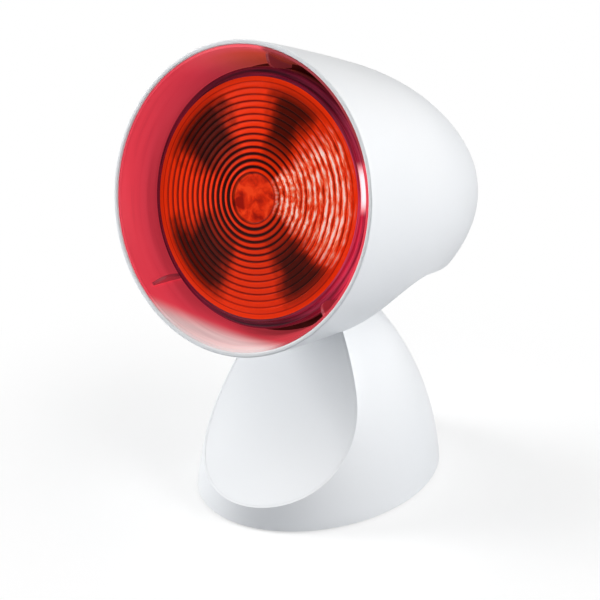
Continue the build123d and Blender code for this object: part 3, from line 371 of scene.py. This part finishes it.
liner = make_liner()
ruby_glass = make_ruby_glass()
flange_glass = make_flange_glass()

# ---------------------------------------------------------------- even finishes
# A moulded or rolled grain is really finer than 0.1 mm, and that of a sand casting about 0.3 mm. Each is
# drawn coarser, so that it shows.

# ABS, injection moulded: satin and almost even, with a soft gloss from a finely eroded mould
white_abs = even_finish("moulded_abs_white", ("#EFF1F3", "#F3F4F5"), grain=0.8 * mm, depth=0.004 * mm,
                        roughness=0.34, spread=0.03, patch=90 * mm, detail=1.0, IOR=1.54)
# ruby glass, pressed and silvered: smooth and glossy, and close to black
bowl_glass = even_finish("silvered_ruby_glass", ("#3C0E1C", "#4A1424"), grain=2 * mm, depth=0.0,
                         roughness=0.07, spread=0.02, IOR=1.52)
# soda-lime glass, drawn: clear, with slow waves
clear_glass = even_finish("drawn_clear_glass", ("#F2F6F4", "#F7FAF8"), grain=2 * mm, depth=0.001 * mm,
                          roughness=0.05, spread=0.02, **{"IOR": 1.5, "Transmission Weight": 1.0})
# black glass, pressed into the cap: glossy, without any pattern
black_glass = even_finish("pressed_black_glass", ("#0D0D10", "#141418"), grain=1 * mm, depth=0.002 * mm,
                          roughness=0.12, spread=0.03, IOR=1.52)
# steel, zinc plated: bright grey, dulled a little by fine crystals
zinc_steel = even_finish("zinc_plated_steel", ("#B9BCBF", "#C7CACC"), grain=0.4 * mm, depth=0.004 * mm,
                         roughness=0.3, spread=0.05, Metallic=1.0)
# aluminium, rolled: pale, with soft reflections
aluminium = even_finish("rolled_aluminium", ("#C9CBCE", "#D6D8DA"), grain=0.3 * mm, depth=0.003 * mm,
                        roughness=0.34, spread=0.05, Metallic=1.0)
# aluminium: reddish brown from a painted reflection of red light, and dulled, less of a metal to the eye
painted_red_aluminium = even_finish("aluminium_with_painted_red", ("#74322F", "#864039"), grain=0.5 * mm,
                            depth=0.004 * mm, roughness=0.4, spread=0.05, Metallic=0.6)
# brass, stamped: warm yellow, and smooth from the tool
brass = even_finish("stamped_brass", ("#B8924A", "#C9A35A"), grain=0.3 * mm, depth=0.003 * mm,
                    roughness=0.3, spread=0.05, Metallic=1.0)
# tungsten, drawn to wire: grey, with a dull shine
tungsten = even_finish("drawn_tungsten", ("#8C8A86", "#9A9893"), grain=0.2 * mm, depth=0.002 * mm,
                       roughness=0.38, spread=0.05, Metallic=1.0)
# iron, cast in sand and painted: the sand's grain shows through a matt dark coat
iron = even_finish("painted_cast_iron", ("#2B2C2E", "#353638"), grain=1.2 * mm, depth=0.03 * mm,
                   roughness=0.55, spread=0.08, IOR=1.5)
# porcelain, glazed: creamy, under a glossy coat
porcelain = even_finish("glazed_porcelain", ("#EFEBE2", "#F4F1EA"), grain=0.8 * mm, depth=0.003 * mm,
                        roughness=0.16, spread=0.04, IOR=1.52)
# nylon, moulded in black: satin, with a fine texture
black_nylon = even_finish("moulded_nylon_black", ("#141416", "#1B1B1E"), grain=0.5 * mm, depth=0.01 * mm,
                          roughness=0.42, spread=0.05, IOR=1.5)
# nylon, moulded without a dye: milky and satin
plain_nylon = even_finish("moulded_nylon_plain", ("#DAD9D2", "#E4E3DD"), grain=0.6 * mm, depth=0.005 * mm,
                          roughness=0.45, spread=0.05, IOR=1.53)
# rubber, moulded: matt, and a little dusty
rubber = even_finish("moulded_rubber", ("#1C1C1D", "#262627"), grain=0.6 * mm, depth=0.01 * mm,
                     roughness=0.72, spread=0.05, IOR=1.5)
# silicone, extruded over the wire: pale and dull
silicone = even_finish("extruded_silicone", ("#D9D9D7", "#E2E2E0"), grain=0.5 * mm, depth=0.004 * mm,
                       roughness=0.5, spread=0.05, IOR=1.43)

finishes = {
    "white_shell": white_abs, "liner_gloss": liner, "ruby_glass": ruby_glass, "silvered_glass": bowl_glass,
    "clear_glass": clear_glass, "black_glass": black_glass, "cap_metal": aluminium, "porcelain": porcelain,
    "brass": brass, "tungsten": tungsten, "zinc_steel": zinc_steel, "ballast_iron": iron,
    "black_plastic": black_nylon, "terminal_plastic": plain_nylon, "feet_rubber": rubber,
    "lead_sheath": silicone,
}
for subpart in frame["record"]["subparts"]:
    mesh = nodes[subpart["node"]].data
    mesh.materials.clear()
    mesh.materials.append(finishes[subpart["material_slot"]])
nodes["heat_shield"].data.materials[0] = painted_red_aluminium
# the pin's ends show beside the rocker, and are black as it is
nodes["rocker_pin"].data.materials[0] = black_nylon


# ---------------------------------------------------------------- mesh tools
def grown(name, tree, sizes, material):
    """Plain mesh from a Geometry Nodes tree and its sizes, by the name of each input."""
    holder = bpy.data.objects.new(name + "_holder", bpy.data.meshes.new(name + "_holder"))
    modifier = holder.modifiers.new("nodes", "NODES")
    modifier.node_group = tree
    for socket in tree.interface.items_tree:
        if socket.in_out == "INPUT":
            modifier[socket.identifier] = sizes[socket.name]
    bpy.context.scene.collection.objects.link(holder)
    mesh = bpy.data.meshes.new_from_object(holder.evaluated_get(bpy.context.evaluated_depsgraph_get()))
    bpy.data.objects.remove(holder)
    mesh.name = name
    mesh.materials.clear()
    mesh.materials.append(material)
    return mesh


def arc_points(centre, radius, start, end, steps=8):
    """Points of an arc in the plane of (radius, depth), its ends in degrees."""
    turns = [math.radians(start + (end - start) * step / steps) for step in range(steps + 1)]
    return [(centre[0] + radius * math.cos(turn), centre[1] + radius * math.sin(turn)) for turn in turns]


def spun(profile, turns):
    """bmesh of a profile of (radius, depth) points turned about the head frame's Z."""
    bm = bmesh.new()
    angles = [2 * math.pi * turn / turns for turn in range(turns)]
    rings = []
    for radius, depth in profile:
        rings.append([bm.verts.new((radius * math.cos(a), radius * math.sin(a), depth)) for a in angles])
    for inner, outer in zip(rings, rings[1:]):
        for turn in range(turns):
            following = (turn + 1) % turns
            bm.faces.new((inner[turn], inner[following], outer[following], outer[turn]))
    return bm


def head_piece(name, bm, material, sharp_from):
    """Glass piece that rides on the head, from a bmesh in the head frame. Edges are sharp from an angle in
    degrees."""
    mesh = bpy.data.meshes.new(name)
    bmesh.ops.transform(bm, matrix=head_frame, verts=bm.verts)
    bmesh.ops.remove_doubles(bm, verts=bm.verts, dist=weld)
    bmesh.ops.recalc_face_normals(bm, faces=bm.faces)
    bm.to_mesh(mesh)
    bm.free()
    mesh.materials.append(material)
    made = bpy.data.objects.new(name, mesh)
    bpy.context.scene.collection.objects.link(made)
    mesh.shade_smooth()
    mesh.set_sharp_from_angle(angle=math.radians(sharp_from))
    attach(made, "head")
    return made


# ---------------------------------------------------------------- the ridged lens
lens_front = -10.2 * mm  # its middle, along the head frame's Z
lens_rise = 2.6 * mm  # from its edge to its middle
lens_turns = 192
ring_height = 0.75 * mm
ring_rise = 1.5 / ring_steps  # share of a ring in which it rises
ring_bend = 1.4  # power of the curve by which it falls off again
lens_sizes = {"Radius": lens_radius, "Rise": lens_rise, "Ring Pitch": ring_pitch, "Ring Start": ring_start,
              "Ring End": ring_end, "Ring Height": ring_height}


def make_lens_front(material):
    """Front of the lens: a grid bent round to a disc and lifted into a crown with saw-toothed rings."""
    tree = bpy.data.node_groups.new("ridged_lens", "GeometryNodeTree")
    for name in lens_sizes:
        tree.interface.new_socket(name, in_out="INPUT", socket_type="NodeSocketFloat")
    tree.interface.new_socket("Geometry", in_out="OUTPUT", socket_type="NodeSocketGeometry")
    add = partial(add_node, tree)
    given = add("NodeGroupInput").outputs
    grid = add("GeometryNodeMeshGrid", {
        "Size X": 1.0, "Size Y": 1.0, "Vertices X": lens_steps + 1, "Vertices Y": lens_turns + 1})
    at = add("ShaderNodeSeparateXYZ", (add("GeometryNodeInputPosition"),)).outputs
    share = add("ShaderNodeMath", (at["X"], 0.5), operation="ADD")
    radius = add("ShaderNodeMath", (share, given["Radius"]), operation="MULTIPLY")
    turn = add("ShaderNodeMath", (at["Y"], 0.5), operation="ADD")
    angle = add("ShaderNodeMath", (turn, 2 * math.pi), operation="MULTIPLY")
    share_squared = add("ShaderNodeMath", (share, share), operation="MULTIPLY")
    crown = add("ShaderNodeMath", (share_squared, given["Rise"]), operation="MULTIPLY")
    # each ring rises steeply at its inner edge, then falls off to its outer edge. The nudge keeps a ring's
    # first points from being rounded into the ring before.
    past_start = add("ShaderNodeMath", (radius, given["Ring Start"]), operation="SUBTRACT")
    ring_place = add("ShaderNodeMath", (past_start, given["Ring Pitch"]), operation="DIVIDE")
    nudged = add("ShaderNodeMath", (ring_place, 1e-4), operation="ADD")
    tooth = add("ShaderNodeMath", (nudged,), operation="FRACT")
    risen = add("ShaderNodeMapRange", (tooth, 0, ring_rise), interpolation_type="SMOOTHSTEP")
    fallen = add("ShaderNodeMath", (tooth, ring_bend), operation="POWER")
    left = add("ShaderNodeMath", (1.0, fallen), operation="SUBTRACT")
    ridge = add("ShaderNodeMath", (risen, left), operation="MULTIPLY")
    from_start = add("ShaderNodeMath", (past_start, -weld), operation="GREATER_THAN")
    to_end = add("ShaderNodeMath", (radius, given["Ring End"]), operation="LESS_THAN")
    in_rings = add("ShaderNodeMath", (from_start, to_end), operation="MULTIPLY")
    full_height = add("ShaderNodeMath", (in_rings, given["Ring Height"]), operation="MULTIPLY")
    height = add("ShaderNodeMath", (ridge, full_height), operation="MULTIPLY")
    valley = add("ShaderNodeMath", (crown, given["Ring Height"]), operation="ADD")
    cosine = add("ShaderNodeMath", (angle,), operation="COSINE")
    sine = add("ShaderNodeMath", (angle,), operation="SINE")
    place = add("ShaderNodeCombineXYZ", (
        add("ShaderNodeMath", (radius, cosine), operation="MULTIPLY"),
        add("ShaderNodeMath", (radius, sine), operation="MULTIPLY"),
        add("ShaderNodeMath", (height, valley), operation="SUBTRACT")))
    bent = add("GeometryNodeSetPosition", {"Geometry": grid, "Position": place})
    closed = add("GeometryNodeMergeByDistance", {"Geometry": bent, "Distance": weld})
    real = add("GeometryNodeRealizeInstances", {"Geometry": closed})
    finish = add("GeometryNodeSetMaterial", {"Geometry": real, "Material": material})
    add("NodeGroupOutput", {"Geometry": finish})
    return tree


bm = bmesh.new()
bm.from_mesh(grown("lens", make_lens_front(ruby_glass), lens_sizes, ruby_glass))
bmesh.ops.translate(bm, verts=bm.verts, vec=(0, 0, lens_front))
lens = head_piece("lens", bm, ruby_glass, sharp_from=60)
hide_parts("bulb_lens")

# the lens's rounded edge and side, the flange that it stands on, and its seam to the bowl
flange_radius = 60.5 * mm
flange_front = -16.2 * mm
seam = -20.2 * mm
edge_round = 1.5 * mm
corner_round = 0.5 * mm
lens_edge = lens_front - lens_rise - ring_height
side_radius = lens_radius + edge_round
profile = arc_points((lens_radius, lens_edge - edge_round), edge_round, 90, 0)
profile += arc_points((side_radius + corner_round, flange_front + corner_round), corner_round, 180, 270)
profile += arc_points((flange_radius - edge_round, flange_front - edge_round), edge_round, 90, 0)
profile.append((flange_radius, seam))
head_piece("lens_rim", spun(profile, turns=256), flange_glass, sharp_from=35)


# ---------------------------------------------------------------- floor, world and lights
def seen_directly(add):
    """Two sockets: 1 for rays from the camera, and 1 for those too that a mirror or a glass sends on."""
    path = add("ShaderNodeLightPath").outputs
    sent_on = add("ShaderNodeMath", (path["Is Glossy Ray"], path["Is Transmission Ray"]), operation="MAXIMUM")
    return path["Is Camera Ray"], add("ShaderNodeMath", (path["Is Camera Ray"], sent_on), operation="MAXIMUM")


def make_floor_paper():
    """Paper, matt: white to the camera, gloss and glass, and grey to the light that it sends back. Close to
    the foot the white one also takes light, so that a faint shadow stays on it."""
    material, add = new_material("floor_paper")
    by_camera, by_any = seen_directly(add)
    strength = add("ShaderNodeMath", (by_camera, 0.5, 0.5), operation="MULTIPLY_ADD")
    white = add("ShaderNodeEmission", {"Color": "#FFFFFF", "Strength": strength})
    place = add("ShaderNodeTexCoord").outputs["Object"]
    from_foot = add("ShaderNodeVectorMath", (place, foot_centre), operation="DISTANCE")
    near_foot = add("ShaderNodeMapRange", (from_foot, 220 * mm, 100 * mm, 0, 0.4),
                    interpolation_type="SMOOTHSTEP")
    taking_light = add("ShaderNodeBsdfDiffuse", {"Color": "#FFFFFF"})
    shown = add("ShaderNodeMixShader", (near_foot, white, taking_light))
    grey = add("ShaderNodeBsdfDiffuse", {"Color": "#B4B8BE"})
    add("ShaderNodeOutputMaterial", (add("ShaderNodeMixShader", (by_any, grey, shown)),))
    return material


def make_studio():
    """World: plain white to the camera, a white room with a dark front wall, behind the camera, to gloss
    and glass, and a dim light to the rest."""
    studio = bpy.data.worlds.new("studio")
    studio.use_nodes = True
    studio.node_tree.nodes.clear()
    add = partial(add_node, studio.node_tree)
    by_camera, by_any = seen_directly(add)
    front = (-0.3, -0.95, 0.0)
    heading = add("ShaderNodeTexCoord").outputs["Generated"]
    to_front = add("ShaderNodeVectorMath", (heading, front), operation="DOT_PRODUCT")
    walls = add("ShaderNodeMapRange", (to_front, 0.25, 0.85, 1.0, 0.12), interpolation_type="SMOOTHSTEP")
    strength = add("ShaderNodeMath", (by_camera, walls), operation="MAXIMUM")
    room = add("ShaderNodeBackground", {"Color": "#FFFFFF", "Strength": strength})
    dim = add("ShaderNodeBackground", {"Color": "#EEF2F8", "Strength": 0.07})
    add("ShaderNodeOutputWorld", (add("ShaderNodeMixShader", (by_any, dim, room)),))
    return studio


floor_bm = bmesh.new()
bmesh.ops.create_grid(floor_bm, x_segments=1, y_segments=1, size=4)
floor_mesh = bpy.data.meshes.new("floor")
floor_bm.to_mesh(floor_mesh)
floor_bm.free()
floor_mesh.materials.append(make_floor_paper())
floor = bpy.data.objects.new("floor", floor_mesh)
bpy.context.scene.collection.objects.link(floor)
bpy.context.scene.world = make_studio()

# azimuth, elevation, width, height, power, and whether gloss shows the light. Gloss leaves out those that
# would be a patch in the lens.
softboxes = {
    "left": (-66, 25, 0.8, 0.9, 26, False),
    "right": (98, 28, 0.8, 0.9, 15, True),
    "back": (140, 35, 0.9, 0.9, 7.5, True),
    "left_low": (-45, 12, 0.8, 0.5, 1.5, False),
    "right_high": (60, 50, 0.8, 0.8, 2.5, False),
}
for name, (azimuth, elevation, width, height, power, in_gloss) in softboxes.items():
    light_data = bpy.data.lights.new(name, "AREA")
    light_data.shape = "RECTANGLE"
    light_data.size = width
    light_data.size_y = height
    light_data.energy = power
    softbox = bpy.data.objects.new(name, light_data)
    softbox.visible_camera = False
    softbox.visible_glossy = in_gloss
    face_the_lamp(softbox, azimuth, elevation, distance=1.6)

bpy.context.scene.view_settings.view_transform = "Standard"
